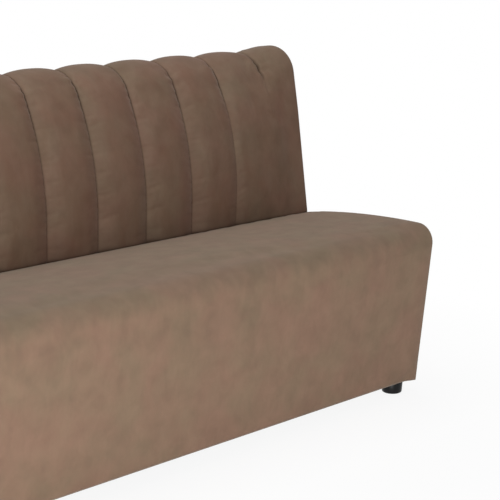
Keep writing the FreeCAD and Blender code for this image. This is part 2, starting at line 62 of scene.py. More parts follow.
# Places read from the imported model
SEAT_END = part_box("seat_end_cover_R")[1].x
BACK_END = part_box("back_end_cover_R")[1].x
REAR_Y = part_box("outside_back_cover")[1].y
SKIRT_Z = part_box("outside_back_cover")[0].z
SEAT_BACK_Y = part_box("seat_foam")[1].y
TUCK_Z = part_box("channel_back")[0].z
DROP_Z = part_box("outside_back_cover")[1].z

# Seat profile, as in the model
FRONT_Y = cad_box[0].y
FRONT_KICK = 0.040
SEAT_DEPTH = 0.489
SEAT_CROWN_HEIGHT = 0.498
CROWN_FALL = 0.037
CROWN_SETBACK = 0.085
FRONT_EDGE_RADIUS = 0.052
SEAT_END_RADIUS = 0.009
SEAT_TUCK_DROP = 0.045

# Turn down behind the seat, wider than the seat's end radius, so that the end's edge still turns there
SEAT_TUCK_RADIUS = 0.011

# Back profile along the seams, as in the model
BACK_BEND_RADIUS = 0.700
BACK_BEND_ANGLE = math.radians(27.2)
BACK_STRAIGHT = 0.096
BACK_ROLL_RADIUS = 0.103
BACK_TOP_FLAT = 0.002
BACK_REAR_RADIUS = 0.046
BACK_REAR_DROP = 0.036

# Profile of the two ends of the back, straighter and fuller at the shoulder than the seams
END_FRONT = 0.022
END_LEAN = math.radians(8.8)
END_LEAN_HIGH = math.radians(10.6)
END_LEAN_BREAK = 0.298
END_TOP = 0.956
END_BEND_RADIUS = 0.08
END_ROLL_RADIUS = 0.087
END_REAR_RADIUS = 0.060
END_FALL = math.radians(8.0)
END_BULGE = 0.016
END_TURN = 0.026

# Length over which the cloth is drawn in at the lower edge of the rear, and the share of bulge lost there
REAR_DRAW = 0.04
REAR_SHARE = 0.85

# Channels
CHANNEL_COUNT = 9
END_CHANNEL_WIDTH = 0.133
CHANNEL_BULGE = 0.011
HUMP_POWER = 2.3
END_POWER = 1.4
TUCK_BULGE = 0.005
GROOVE_DEPTH = 0.004
GROOVE_WIDTH = 0.003

# Share of a channel over which the last one goes over into the end field
END_BLEND = 0.35

# Seams, from the outermost inwards: share of the full depth low down, and heights between which it grows
SEAM_SHARES = (0.05, 0.38, 0.85)
SEAM_FADE_LOW = (0.855, 0.75, 0.73)
SEAM_FADE_HIGH = 0.89

# Share of the depth from which a seam is held, and how near a point lies that is on it
SEWN_SHARE = 0.3
SEAM_SNAP = 1e-5

# Gathers beside the seams, and the headings between which they begin and end
GATHER_DEPTH = 0.006
GATHER_REACH = 0.013
GATHER_STEP = 0.018
GATHER_SPREAD = 0.05
GATHER_BEGIN = (0.7 * BACK_BEND_ANGLE, 1.3 * BACK_BEND_ANGLE)
GATHER_END = (0.28 * math.pi, 0.42 * math.pi)

# Right and left, as the sign of X and the letter in the names
SIDES = ((1.0, "R"), (-1.0, "L"))

# Skins, panels and lining
BACK_SKIN = 0.006
SEAT_SKIN = 0.004
COVER_THICK = 0.002
CORNER_REACH = 0.07
CORNER_DROOP = 0.007
PANEL_CROWN = 0.003
PANEL_ROLL = 0.05
LINING_THICK = 0.0008
LINING_SAG = 0.004
LINING_SPAN = 0.20
LINING_RIPPLES = 6.0
RIPPLE_SHARE = 0.3

# Feet, with the rings of the hollow under them as shares of the radius
FOOT_TAPER = 0.002
FOOT_EDGE = 0.005
FOOT_HOLLOW = 0.0015
FOOT_LIP = 0.001
FOOT_RINGS = (0.0, 0.25, 0.55)
FOOT_RIM = 0.62
FOOT_WELD = 1e-5

# Cloth simulation
CLOTH_FRAMES = 20
CLOTH_QUALITY = 6
CLOTH_MASS = 0.3
CLOTH_TENSION = 15.0
CLOTH_SHEAR = 5.0
CLOTH_BENDING = 0.4
BACK_PRESSURE = 4.0
BACK_SLACK = 0.009
BACK_CAP = 0.005
SEAT_PRESSURE = 4.0
SEAT_SLACK = 0.004
SEAT_CAP = 0.004

# Painted shade that darkens the velvet in its seams and folds
SEAM_SHADE_WIDTH = 0.0020
SEAM_SHADE_LOW = 0.55
SEAM_SHADE_TOP = 0.3
PANEL_RIM_SHADE = 0.6
TUCK_SHADE_WIDTH = 0.014
TUCK_SHADE = 0.75

# Mesh steps
CLOTH_STEP = 0.02
FOOT_SIDES = 64
FOOT_EDGE_STEPS = 6
CHANNEL_COLUMNS = 24
END_COLUMNS = 14
ROUND_COLUMNS = 12
ROW_STEP = 0.005
SEAT_COLUMNS = 110
SEAT_STEP = 0.008
PANEL_ROWS = 90
PANEL_COLUMNS = 40
PANEL_STEP = 0.0002

# Part of a noise's values that is used
NOISE_SPAN = (0.3, 0.7)

# Velvet: its noises, the tints that they give, its relief and its sheen
WHITE = (1.0, 1.0, 1.0)
BRUSH_NOISE = dict(scale=18.0, detail=6.0, stretch=(1.0, 1.0, 0.5), distortion=0.6)
PATCH_NOISE = dict(scale=8.0, detail=5.0, distortion=0.3)
SMUDGE_NOISE = dict(scale=20.0, detail=9.0, distortion=0.3)
STREAK_NOISE = dict(scale=110.0, detail=4.0, stretch=(1.0, 0.5, 0.35))
PILE_NOISE = dict(scale=1400.0, detail=2.0)
RUFFLE_NOISE = dict(scale=70.0, detail=4.0, distortion=0.4)
PATCH_TINTS = [(0.36, (0.97, 1.01, 0.97)), (0.64, (1.04, 0.98, 0.98))]
SMUDGE_TINTS = [(0.34, (0.88, 0.88, 0.88)), (0.66, WHITE)]
STREAK_TINTS = [(0.3, (0.93, 0.93, 0.93)), (0.7, WHITE)]
# Painted shade: tints that the seams and folds are multiplied by
CREASE_SHADE_TINTS = [(0.0, WHITE), (1.0, (0.25, 0.22, 0.20))]
STREAK_SHARE = 0.5
VELVET_ROUGHNESS = (0.98, 0.86)
PILE_RELIEF = dict(strength=0.25, distance=0.0005)
RUFFLE_RELIEF = dict(strength=0.12, distance=0.002)
VELVET_GLOSS = {
    "Sheen Weight": 0.20,
    "Sheen Roughness": 0.4,
    "Sheen Tint": (0.95, 0.86, 0.76, 1.0),
    "Specular IOR Level": 0.08,
}

# Share by which brushing turns the velvet's pile
BRUSHED = 0.2

# Velvets: screen colours against and along a direction, the direction that a face looks in where its pile
# lies flat and the painted light falls, and between which shares of that it goes over. Partly the nap and
# partly painted light and shade: the back's faces turned left to the key lamp are painted lighter, the
# seat's front is painted warmer and lighter than its greyer top as the low key lamp and grazing sheen
# would make it, the ends' upward faces are painted lighter, and the back and ends are painted darker than
# the seat
NAP_AND_LIGHT_VELVETS = {
    "seat": ((146, 120, 101), (128, 108, 91), (0.0, 0.0, 1.0), (-0.12, 0.72)),
    "end": ((111, 89, 74), (120, 99, 84), (0.0, 0.0, 1.0), (-0.2, 0.4)),
    "back": ((107, 81, 66), (117, 97, 82), (-1.0, 0.0, 0.15), (-0.3, 0.5)),
}

# Other materials by slot: two screen colours, scale of the noise, roughness, relief, stretch of the noise
EVEN = (1, 1, 1)
PLAIN = {
    "plywood": ((178, 140, 96), (206, 171, 124), 9.0, (0.6, 0.75), 0.0004, (1, 1, 12)),
    "softwood": ((201, 163, 112), (226, 192, 142), 8.0, (0.55, 0.7), 0.0004, (1, 14, 14)),
    "fibreboard": ((104, 76, 50), (128, 96, 66), 220.0, (0.7, 0.8), 0.0004, EVEN),
    "foam": ((214, 205, 172), (234, 227, 198), 420.0, (0.9, 1.0), 0.0012, EVEN),
    "wadding": ((226, 226, 222), (243, 243, 240), 60.0, (0.92, 1.0), 0.003, EVEN),
    "webbing": ((40, 40, 40), (64, 63, 61), 300.0, (0.75, 0.9), 0.0004, (3, 1, 1)),
    "lining_cloth": ((20, 20, 21), (34, 34, 35), 380.0, (0.85, 0.95), 0.0004, EVEN),
    "zinc_steel": ((176, 178, 176), (206, 207, 203), 300.0, (0.28, 0.42), 0.0001, EVEN),
    "foot_plastic": ((5, 5, 5), (9, 9, 9), 500.0, (0.32, 0.42), 0.0001, EVEN),
}
PLAIN_DETAIL = 4.0
PLAIN_RELIEF = 0.3
FOOT_SPECULAR = 0.22

# Camera fitted to the photograph, whose image is square
CAMERA_PLACE = Vector((-2.5865, -2.9668, 1.4126))
CAMERA_TURN = math.radians(46.492)
CAMERA_TILT = math.radians(12.953)
CAMERA_ROLL = math.radians(0.934)
SENSOR = 36.0
IMAGE_SIDE = 500.0
FOCAL_PIXELS = 1566.3

# Floor: half its side, its tones, and the share of white near the object and at distances from its middle
FLOOR_HALF = 40.0
FLOOR_SCALE = 2.0
FLOOR_TONES = [(0.3, (0.90, 0.90, 0.90)), (0.7, (0.92, 0.92, 0.92))]
FLOOR_ROUGHNESS = 0.9
FLOOR_DISTANCES = (0.9, 1.9)
FLOOR_WHITE = (0.90, 1.0)

# Light of the surroundings, and lamps with their place, aim, size and power
WORLD_COLOUR = (0.95, 0.97, 1.0, 1.0)
WORLD_STRENGTH = 0.36
LAMPS = {
    "key": ((-2.9, -2.8, 0.9), (0.2, 0.0, 0.5), (2.0, 1.4), 100.0),
    "fill": ((3.0, -3.0, 1.8), (0.2, 0.0, 0.5), (2.4, 2.0), 4.0),
    "top": ((0.0, 0.2, 3.2), (0.0, 0.1, 0.5), (3.0, 1.6), 45.0),
}

# Places that follow from these
LAST_SEAM = BACK_END - END_CHANNEL_WIDTH
PITCH = 2.0 * LAST_SEAM / CHANNEL_COUNT
SEAT_REAR_HEIGHT = SEAT_CROWN_HEIGHT - CROWN_FALL
SEAM_Y = FRONT_Y + SEAT_DEPTH


def smooth(value, low, high):
    """Smooth step from 0 at low to 1 at high."""
    t = min(1.0, max(0.0, (value - low) / (high - low)))
    return t * t * (3.0 - 2.0 * t)


def mix(a, b, t):
    return a + (b - a) * t


# Profiles are walked as straight runs and arcs in the plane of Y and Z


class Profile:
    """A line in the plane of Y and Z with its outward normal, found by the distance along it."""

    def __init__(self, start, heading):
        self.start = Vector(start)
        self.heading = heading
        self.length = 0.0
        self.runs = []
        self.marks = [0.0]

    def mark(self):
        """Note this place as a landmark that another line has too."""
        self.marks.append(self.length)

    def matched(self, other, s):
        """Distance along this line that goes with a distance along another one."""
        for i in range(len(self.marks) - 1):
            if s <= other.marks[i + 1]:
                break
        share = (s - other.marks[i]) / (other.marks[i + 1] - other.marks[i])
        return mix(self.marks[i], self.marks[i + 1], share)

    def state(self):
        """Point and heading at the end of what is walked so far."""
        if not self.runs:
            return self.start, self.heading
        return self.place(self.length)

    def straight(self, length):
        self.arc(0.0, length)

    def turn(self, radius, angle):
        self.arc(angle, abs(angle) * radius)

    def arc(self, angle, length):
        point, heading = self.state()
        self.runs.append((self.length, length, angle, point, heading))
        self.length += length

    def place(self, s):
        """Point and heading at a distance. A heading of 0 is up and a quarter turn is to the rear."""
        for begin, length, angle, point, heading in self.runs:
            if s <= begin + length or begin + length >= self.length:
                break
        d = s - begin
        if angle == 0.0:
            step = Vector((math.sin(heading), math.cos(heading))) * d
            return point + step, heading
        radius = length / angle
        side = Vector((math.cos(heading), -math.sin(heading)))
        now = heading + angle * d / length
        new_side = Vector((math.cos(now), -math.sin(now)))
        return point + (side - new_side) * radius, now

    def point(self, s, out, x):
        """Point at a distance along the line, moved outwards, at a station along X."""
        place, heading = self.place(s)
        y = place.x - math.cos(heading) * out
        z = place.y + math.sin(heading) * out
        return Vector((x, y, z))


def back_profile():
    """Back along a seam, from the tuck behind the seat, over the roll and down the rear."""
    line = Profile((SEAM_Y, TUCK_Z), 0.0)
    line.straight(SEAT_REAR_HEIGHT - TUCK_Z)
    line.mark()
    line.straight(BACK_STRAIGHT)
    line.turn(BACK_BEND_RADIUS, BACK_BEND_ANGLE)
    line.mark()
    line.turn(BACK_ROLL_RADIUS, math.pi / 2.0 - BACK_BEND_ANGLE)
    line.mark()
    line.straight(BACK_TOP_FLAT)
    line.turn(BACK_REAR_RADIUS, math.pi / 2.0)
    line.mark()
    line.straight(BACK_REAR_DROP)
    line.mark()
    return line


def end_profile():
    """Front, top and rear of an end of the back, with the same landmarks as the seam line."""
    line = Profile((SEAM_Y - END_FRONT, TUCK_Z), 0.0)
    line.straight(SEAT_REAR_HEIGHT - TUCK_Z)
    line.mark()
    line.turn(END_BEND_RADIUS, END_LEAN)
    line.straight(END_LEAN_BREAK)
    line.turn(END_BEND_RADIUS, END_LEAN_HIGH - END_LEAN)
    roll_z = END_TOP - END_ROLL_RADIUS * (1.0 - math.sin(END_LEAN_HIGH))
    line.straight((roll_z - line.state()[0].y) / math.cos(END_LEAN_HIGH))
    line.mark()
    line.turn(END_ROLL_RADIUS, math.pi / 2.0 + END_FALL - END_LEAN_HIGH)
    line.mark()
    fall_end = REAR_Y + END_BULGE - END_REAR_RADIUS * (1.0 - math.sin(END_FALL))
    line.straight((fall_end - line.state()[0].x) / math.cos(END_FALL))
    line.turn(END_REAR_RADIUS, math.pi / 2.0 - END_FALL)
    line.mark()
    line.straight(line.state()[0].y - DROP_Z)
    line.mark()
    return line


def seat_profile():
    """Seat from the skirt line, up the front, over the top and down into the tuck."""
    run = SEAT_DEPTH - CROWN_SETBACK
    crown_radius = (run ** 2 + CROWN_FALL ** 2) / (2.0 * CROWN_FALL)
    crown_z = SEAT_CROWN_HEIGHT - crown_radius
    reach = crown_radius - FRONT_EDGE_RADIUS
    edge_y = FRONT_EDGE_RADIUS
    edge_z = crown_z + math.sqrt(reach ** 2 - (CROWN_SETBACK - edge_y) ** 2)
    to_edge = Vector((edge_y - FRONT_KICK, edge_z - SKIRT_Z))
    slope = math.atan2(to_edge.y, to_edge.x) + math.asin(FRONT_EDGE_RADIUS / to_edge.length)
    lean = math.pi / 2.0 - slope
    front_run = math.sqrt(to_edge.length ** 2 - FRONT_EDGE_RADIUS ** 2)
    edge_end = math.asin((CROWN_SETBACK - edge_y) / reach)
    crown_run = SEAT_BACK_Y - SEAT_TUCK_RADIUS - FRONT_Y - CROWN_SETBACK
    crown_end = math.asin(crown_run / crown_radius)
    line = Profile((FRONT_Y + FRONT_KICK, SKIRT_Z), lean)
    line.straight(front_run)
    line.turn(FRONT_EDGE_RADIUS, math.pi / 2.0 - edge_end - lean)
    line.turn(crown_radius, edge_end + crown_end)
    line.turn(SEAT_TUCK_RADIUS, math.pi / 2.0 - crown_end)
    line.straight(SEAT_TUCK_DROP)
    return line


def drawn_in(line, s):
    """How far the cloth is drawn in near the lower edge of the rear, from 0 to 1."""
    return smooth(s, line.marks[-2] - REAR_DRAW, line.length)


def stations(length, step):
    """Evenly spaced distances from 0 to a length."""
    count = max(2, round(length / step))
    return [length * i / count for i in range(count + 1)]


# Meshes


def shown(name, vertices, faces, material, slot):
    """New smooth mesh object that rides on the part's one body."""
    mesh = bpy.data.meshes.new(name)
    mesh.from_pydata(vertices, [], faces)
    mesh.validate()
    for polygon in mesh.polygons:
        polygon.use_smooth = True
    mesh.materials.append(material)
    piece = bpy.data.objects.new(name, mesh)
    bpy.context.scene.collection.objects.link(piece)
    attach(piece, "root")
    return piece


def grid_faces(rows, columns):
    """Quads of a grid that is stored row by row."""
    faces = []
    for i in range(rows - 1):
        for j in range(columns - 1):
            a = i * columns + j
            faces.append((a, a + 1, a + columns + 1, a + columns))
    return faces


def thickened(piece, thickness):
    """Give an open skin its thickness on the inside."""
    solid = piece.modifiers.new("thickness", "SOLIDIFY")
    solid.thickness = thickness
    solid.offset = -1.0
    return piece


def paint_crease_shade(piece, shares):
    """Keep how deep each point lies in a seam or fold, for the velvet's painted shade there."""
    layer = piece.data.attributes.new("crease_shade", "FLOAT", "POINT")
    layer.data.foreach_set("value", shares)


def swollen(piece, pinned, pressure, slack, caps):
    """Let a sewn skin swell as cloth and keep the result. No point moves further than its cap."""
    group = piece.vertex_groups.new(name="pinned")
    group.add(pinned, 1.0, "REPLACE")
    cloth = piece.modifiers.new("cloth", "CLOTH")
    cloth.settings.vertex_group_mass = group.name
    cloth.settings.quality = CLOTH_QUALITY
    cloth.settings.mass = CLOTH_MASS
    cloth.settings.tension_stiffness = CLOTH_TENSION
    cloth.settings.compression_stiffness = CLOTH_TENSION
    cloth.settings.shear_stiffness = CLOTH_SHEAR
    cloth.settings.bending_stiffness = CLOTH_BENDING
    cloth.settings.use_pressure = True
    cloth.settings.uniform_pressure_force = pressure
    cloth.settings.shrink_min = -slack
    cloth.settings.effector_weights.gravity = 0.0
    cloth.collision_settings.use_collision = False
    scene = bpy.context.scene
    for frame_number in range(1, CLOTH_FRAMES + 1):
        scene.frame_set(frame_number)
    graph = bpy.context.evaluated_depsgraph_get()
    moved = [v.co.copy() for v in piece.evaluated_get(graph).data.vertices]
    piece.modifiers.remove(cloth)
    scene.frame_set(1)
    for vertex, place, cap in zip(piece.data.vertices, moved, caps):
        step = place - vertex.co
        if step.length > cap:
            step *= cap / step.length
        vertex.co += step


# Channelled back


def back_columns():
    """Stations across the back, as an X and how far round an end they lie, from left to right."""
    start = BACK_END - END_TURN
    right = []
    for i in range(END_COLUMNS):
        right.append((mix(LAST_SEAM, start, i / END_COLUMNS), 0.0))
    for i in range(ROUND_COLUMNS + 1):
        right.append((start, math.pi / 2.0 * i / ROUND_COLUMNS))
    row = [(-x, turn) for x, turn in right[::-1]][:-1]
    for channel in range(CHANNEL_COUNT):
        for i in range(CHANNEL_COLUMNS):
            share = -math.cos(math.pi * i / CHANNEL_COLUMNS)
            row.append((-LAST_SEAM + PITCH * (channel + 0.5 + share / 2.0), 0.0))
    return row + right


def seam_depth(index, z):
    """Share of a seam's full depth at a height: the outer seams are pulled in only near the top."""
    from_end = min(index, CHANNEL_COUNT - index, len(SEAM_SHARES) - 1)
    grown = smooth(z, SEAM_FADE_LOW[from_end], SEAM_FADE_HIGH)
    return mix(SEAM_SHARES[from_end], 1.0, grown)


def channel_drop(x, z, bulge):
    """How far the skin lies below the ridge line."""
    along = (x + LAST_SEAM) / PITCH
    if not 0.0 <= along <= CHANNEL_COUNT:
        from_seam = abs(x) - LAST_SEAM
        seam = 0
        low = max(0.0, 1.0 - from_seam / (END_CHANNEL_WIDTH - END_TURN)) ** END_POWER
    else:
        channel = min(int(along), CHANNEL_COUNT - 1)
        share = 2.0 * (along - channel) - 1.0
        seam = channel if share < 0.0 else channel + 1
        low = abs(share) ** HUMP_POWER
        from_seam = PITCH * abs(along - seam)
    groove = GROOVE_DEPTH * math.exp(-((from_seam / GROOVE_WIDTH) ** 2))
    return seam_depth(seam, z) * (bulge * low + groove)


def gathered(heading, s, column):
    """Height of the small gathers beside a seam where the cloth turns over the top."""
    over = smooth(heading, *GATHER_BEGIN) * (1.0 - smooth(heading, *GATHER_END))
    reach = seam_at(column)[1] / GATHER_REACH
    wave = noise.noise(Vector((s / GATHER_STEP, column[0] / GATHER_SPREAD, 0.0)))
    return GATHER_DEPTH * over * wave * reach * math.exp(1.0 - reach)


def back_point(seams, ends, s, column):
    """Point of the channelled back at a distance along the seam line."""
    x, turn = column
    place, heading = seams.place(s)
    grow = smooth(place.y, SEAT_REAR_HEIGHT, SEAT_REAR_HEIGHT + BACK_STRAIGHT)
    bulge = mix(TUCK_BULGE, CHANNEL_BULGE, grow)
    drawn = drawn_in(seams, s)
    bulge *= 1.0 - REAR_SHARE * drawn
    drop = channel_drop(x, place.y, bulge) - gathered(heading, s, column)
    ridge = seams.point(s, bulge - drop, x)
    to_end = smooth(abs(x), LAST_SEAM - PITCH * END_BLEND, BACK_END - END_TURN)
    if to_end == 0.0:
        return ridge
    out = -END_TURN * (1.0 - math.cos(turn)) - REAR_SHARE * END_BULGE * drawn
    side = math.copysign(END_TURN * math.sin(turn), x)
    end = ends.point(ends.matched(seams, s), out - drop, x + side)
    return ridge.lerp(end, to_end) if turn == 0.0 else end


def seam_at(column):
    """Number of the nearest seam and the distance to it."""
    x, turn = column
    index = min(CHANNEL_COUNT, max(0, round((x + LAST_SEAM) / PITCH)))
    return index, abs(x + LAST_SEAM - PITCH * index) + END_TURN * turn


def back_crease_shade(seams, s, column):
    """How deep a point of the back lies in a seam, or in the fold behind the seat, for the painted shade
    there.
    """
    index, distance = seam_at(column)
    place, heading = seams.place(s)
    # Painted shade in the seam, deeper where the seam is pulled in and less over the top
    seam = seam_depth(index, place.y) * math.exp(-((distance / SEAM_SHADE_WIDTH) ** 2))
    seam *= mix(SEAM_SHADE_LOW, 1.0, smooth(place.y, SEAM_FADE_LOW[-1], SEAM_FADE_HIGH))
    seam *= mix(1.0, SEAM_SHADE_TOP, smooth(heading, BACK_BEND_ANGLE, math.pi / 2.0))
    # Painted shade in the fold behind the seat, fading round the ends
    fold_shade = 1.0 - smooth(place.y, SEAT_REAR_HEIGHT, SEAT_REAR_HEIGHT + TUCK_SHADE_WIDTH)
    fold_shade *= TUCK_SHADE * math.cos(column[1])
    return max(seam, fold_shade if s < seams.length / 2.0 else 0.0)


def channelled_back(material):
    """Velvet of the back, sewn in channels and turned round its two ends."""
    seams = back_profile()
    ends = end_profile()
    columns = back_columns()
    rows = stations(seams.length, ROW_STEP)
    vertices = [back_point(seams, ends, s, column) for s in rows for column in columns]
    faces = grid_faces(len(rows), len(columns))
    piece = shown("back_channels", vertices, faces, material, "velvet")
    paint_crease_shade(piece, [back_crease_shade(seams, s, column) for s in rows for column in columns])
    pinned = []
    for i in range(len(rows)):
        for j, column in enumerate(columns):
            number = i * len(columns) + j
            at_rim = i in (0, len(rows) - 1) or column[1] > 0.0
            index, distance = seam_at(column)
            on_seam = distance < SEAM_SNAP
            if at_rim or (on_seam and seam_depth(index, vertices[number].z) > SEWN_SHARE):
                pinned.append(number)
    caps = []
    for vertex in vertices:
        to_end = smooth(abs(vertex.x), LAST_SEAM, LAST_SEAM + END_CHANNEL_WIDTH / 2.0)
        caps.append(BACK_CAP * (1.0 - to_end))
    swollen(piece, pinned, BACK_PRESSURE, BACK_SLACK, caps)
    thickened(piece, BACK_SKIN)
    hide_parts("channel_back")


# Seat


def seat_columns():
    """Stations across the seat, as an offset inwards and an X, from left to right."""
    row = []
    flat = SEAT_END - SEAT_END_RADIUS
    turns = [math.pi / 2.0 * i / ROUND_COLUMNS for i in range(ROUND_COLUMNS + 1)]
    edge = []
    for a in turns:
        edge.append((SEAT_END_RADIUS * (1.0 - math.cos(a)), flat + SEAT_END_RADIUS * math.sin(a)))
    for inset, x in edge[::-1]:
        row.append((inset, -x))
    for i in range(1, SEAT_COLUMNS):
        row.append((0.0, -flat + 2.0 * flat * i / SEAT_COLUMNS))
    return row + edge


def seat(material):
    """Velvet of the seat, in one piece from the skirt line over the top and into the tuck."""
    line = seat_profile()
    columns = seat_columns()
    rows = stations(line.length, SEAT_STEP)
    vertices = [line.point(s, -inset, x) for s in rows for inset, x in columns]
    for vertex in vertices:
        vertex.z -= drooped(*vertex)
    faces = grid_faces(len(rows), len(columns))
    piece = shown("seat_velvet", vertices, faces, material, "velvet")
    tuck = line.length - SEAT_TUCK_DROP - SEAT_TUCK_RADIUS
    pinned = []
    shares = []
    for i, s in enumerate(rows):
        # Painted shade in the fold where the seat turns down into the tuck
        fold_shade = TUCK_SHADE * smooth(s, tuck - TUCK_SHADE_WIDTH, tuck + TUCK_SHADE_WIDTH / 2.0)
        shares += [fold_shade] * len(columns)
        for j, (inset, _) in enumerate(columns):
            if i == 0 or s > tuck or inset > 0.0:
                pinned.append(i * len(columns) + j)
    paint_crease_shade(piece, shares)
    swollen(piece, pinned, SEAT_PRESSURE, SEAT_SLACK, [SEAT_CAP] * len(vertices))
    thickened(piece, SEAT_SKIN)
    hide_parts("seat_cover", "seat_wrap")


# Flat panels with a soft crown


def depth_at(points, z):
    """Depth at a height on a line of (y, z) points that rises."""
    for a, b in zip(points, points[1:]):
        if z <= b.y:
            return mix(a.x, b.x, (z - a.y) / max(b.y - a.y, PANEL_STEP))
    return points[-1].x


def edge_at(points, foot, z):
    """Depth of a panel's edge at a height, and the one its crown keeps to, which blends below a step."""
    if z >= points[0].y:
        y = depth_at(points, z)
        return y, y
    return foot, mix(points[0].x, foot, smooth(points[0].y - z, 0.0, PANEL_ROLL))


def panel(name, curve, foot, x, material):
    """Soft panel in the plane of an end, under a curve of (y, z) that rises and falls.

    It reaches down to the skirt line. foot gives the depths of its front and rear edges below the curve.
    """
    side = math.copysign(1.0, x)
    peak = max(range(len(curve)), key=lambda i: curve[i].y)
    top = curve[peak].y - PANEL_STEP
    rise = curve[: peak + 1]
    fall = curve[peak:][::-1]
    levels = []
    for i in range(PANEL_ROWS + 1):
        levels.append(mix(SKIRT_Z, top, math.sin(math.pi / 2.0 * i / PANEL_ROWS)))
    for step in (rise[0].y, fall[0].y):
        if step > SKIRT_Z + PANEL_STEP:
            levels += [step - PANEL_STEP, step + PANEL_STEP]
    levels.sort()
    vertices = []
    shares = []
    for z in levels:
        front, front_crown = edge_at(rise, foot[0], z)
        rear, rear_crown = edge_at(fall, foot[1], z)
        for j in range(PANEL_COLUMNS + 1):
            y = mix(front, rear, 0.5 - 0.5 * math.cos(math.pi * j / PANEL_COLUMNS))
            rim = min(y - front, rear - y, z - SKIRT_Z, top - z)
            clear = min(y - front_crown, rear_crown - y, z - SKIRT_Z, top - z)
            out = PANEL_CROWN * smooth(clear, 0.0, PANEL_ROLL)
            vertices.append((x + side * out, y, z - drooped(x, y, z)))
            # Painted shade along the panel's rim, at its seams
            shares.append(PANEL_RIM_SHADE * math.exp(-((rim / SEAM_SHADE_WIDTH) ** 2)))
    faces = grid_faces(len(levels), PANEL_COLUMNS + 1)
    if side < 0.0:
        faces = [face[::-1] for face in faces]
    piece = shown(name, vertices, faces, material, "velvet")
    paint_crease_shade(piece, shares)
    return thickened(piece, COVER_THICK)


def drooped(x, y, z):
    """How far the cloth hangs at a place near a lower front corner of the seat."""
    near_end = smooth(abs(x), SEAT_END - CORNER_REACH, SEAT_END)
    near_front = 1.0 - smooth(y, FRONT_Y + FRONT_KICK, FRONT_Y + FRONT_KICK + CORNER_REACH)
    near_skirt = 1.0 - smooth(z, SKIRT_Z, SKIRT_Z + CORNER_REACH)
    return CORNER_DROOP * near_end * near_front * near_skirt


def seat_end_panels(material):
    line = seat_profile()
    curve = []
    for s in stations(line.runs[-2][0], ROW_STEP):
        point = line.point(s, -SEAT_END_RADIUS, 0.0)
        curve.append(Vector((point.y, max(point.z, SKIRT_Z))))
    foot = (curve[0].x, SEAT_BACK_Y)
    for side, letter in SIDES:
        piece = panel("seat_end_" + letter, curve, foot, side * SEAT_END, material)
        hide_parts("seat_end_cover_" + letter)


def back_end_panels(material):
    line = end_profile()
    curve = []
    for s in stations(line.length, ROW_STEP):
        point = line.point(s, -END_TURN - REAR_SHARE * END_BULGE * drawn_in(line, s), 0.0)
        curve.append(Vector((point.y, point.z)))
    foot = (SEAT_BACK_Y, REAR_Y)
    for side, letter in SIDES:
        piece = panel("back_end_" + letter, curve, foot, side * BACK_END, material)
        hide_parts("back_end_cover_" + letter, "back_end_pad_" + letter)


def cloth_grid(name, low, high, place, material, slot):
    """Grid between two corners of a flat cloth.

    place gives the point for two coordinates on the cloth and the distance to its rim.
    """
    columns = round((high[0] - low[0]) / CLOTH_STEP)
    rows = round((high[1] - low[1]) / CLOTH_STEP)
    vertices = []
    for i in range(rows + 1):
        for j in range(columns + 1):
            u = mix(low[0], high[0], j / columns)
            v = mix(low[1], high[1], i / rows)
            rim = min(u - low[0], high[0] - u, v - low[1], high[1] - v)
            vertices.append(place(u, v, rim))
    return shown(name, vertices, grid_faces(rows + 1, columns + 1), material, slot)


def outside_back(material):
    """Outside back cover, pulled over wadding and tacked at its edges."""
    low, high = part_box("outside_back_cover")

    def place(u, v, rim):
        swell = PANEL_CROWN * smooth(rim, 0.0, PANEL_ROLL)
        return Vector((-u, REAR_Y + swell, v))

    corners = (low.x, low.z), (high.x, high.z)
    piece = cloth_grid("outside_back", *corners, place, material, "velvet")
    thickened(piece, COVER_THICK)
    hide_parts("outside_back_cover")


def underside(material):
    """Thin lining stapled under the frame, which hangs a little between its edges."""
    low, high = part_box("dust_cover")

    def place(u, v, rim):
        fall = LINING_SAG * smooth(rim, 0.0, LINING_SPAN)
        ripple = noise.noise(Vector((u, v, 0.0)) * LINING_RIPPLES) * LINING_SAG * RIPPLE_SHARE
        return Vector((-u, v, high.z - fall - ripple * smooth(rim, 0.0, PANEL_ROLL)))

    corners = (low.x, low.y), (high.x, high.y)
    piece = cloth_grid("underside_lining", *corners, place, material, "lining_cloth")
    thickened(piece, LINING_THICK)
    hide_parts("dust_cover")


def foot_line(radius, height):
    """Half section of a turned foot as radius and height: hollow under, softened edge, taper, top."""
    under = [(radius * share, FOOT_HOLLOW) for share in FOOT_RINGS]
    under.append((radius * FOOT_RIM, 0.0))
    edge = []
    for i in range(FOOT_EDGE_STEPS + 1):
        angle = math.pi / 2.0 * i / FOOT_EDGE_STEPS
        reach = radius - FOOT_TAPER - FOOT_EDGE * (1.0 - math.sin(angle))
        edge.append((reach, FOOT_EDGE * (1.0 - math.cos(angle))))
    top = [(radius, height - FOOT_LIP), (radius - FOOT_LIP, height), (0.0, height)]
    return under + edge + top


def feet(node, material):
    """Pair of turned plastic feet."""
    low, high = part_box(node)
    radius = (high.y - low.y) / 2.0
    section = foot_line(radius, high.z - low.z)
    vertices = []
    faces = []
    for x in (low.x + radius, high.x - radius):
        start = len(vertices)
        for r, z in section:
            for i in range(FOOT_SIDES):
                a = 2.0 * math.pi * i / FOOT_SIDES
                vertices.append((x + r * math.cos(a), low.y + radius + r * math.sin(a), z))
        for k in range(len(section) - 1):
            for i in range(FOOT_SIDES):
                a = start + k * FOOT_SIDES + i
                b = start + k * FOOT_SIDES + (i + 1) % FOOT_SIDES
                faces.append((a, b, b + FOOT_SIDES, a + FOOT_SIDES))
    piece = shown(node + "_turned", vertices, faces, material, "foot_plastic")
    weld = piece.modifiers.new("weld", "WELD")
    weld.merge_threshold = FOOT_WELD
    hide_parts(node)


# Materials


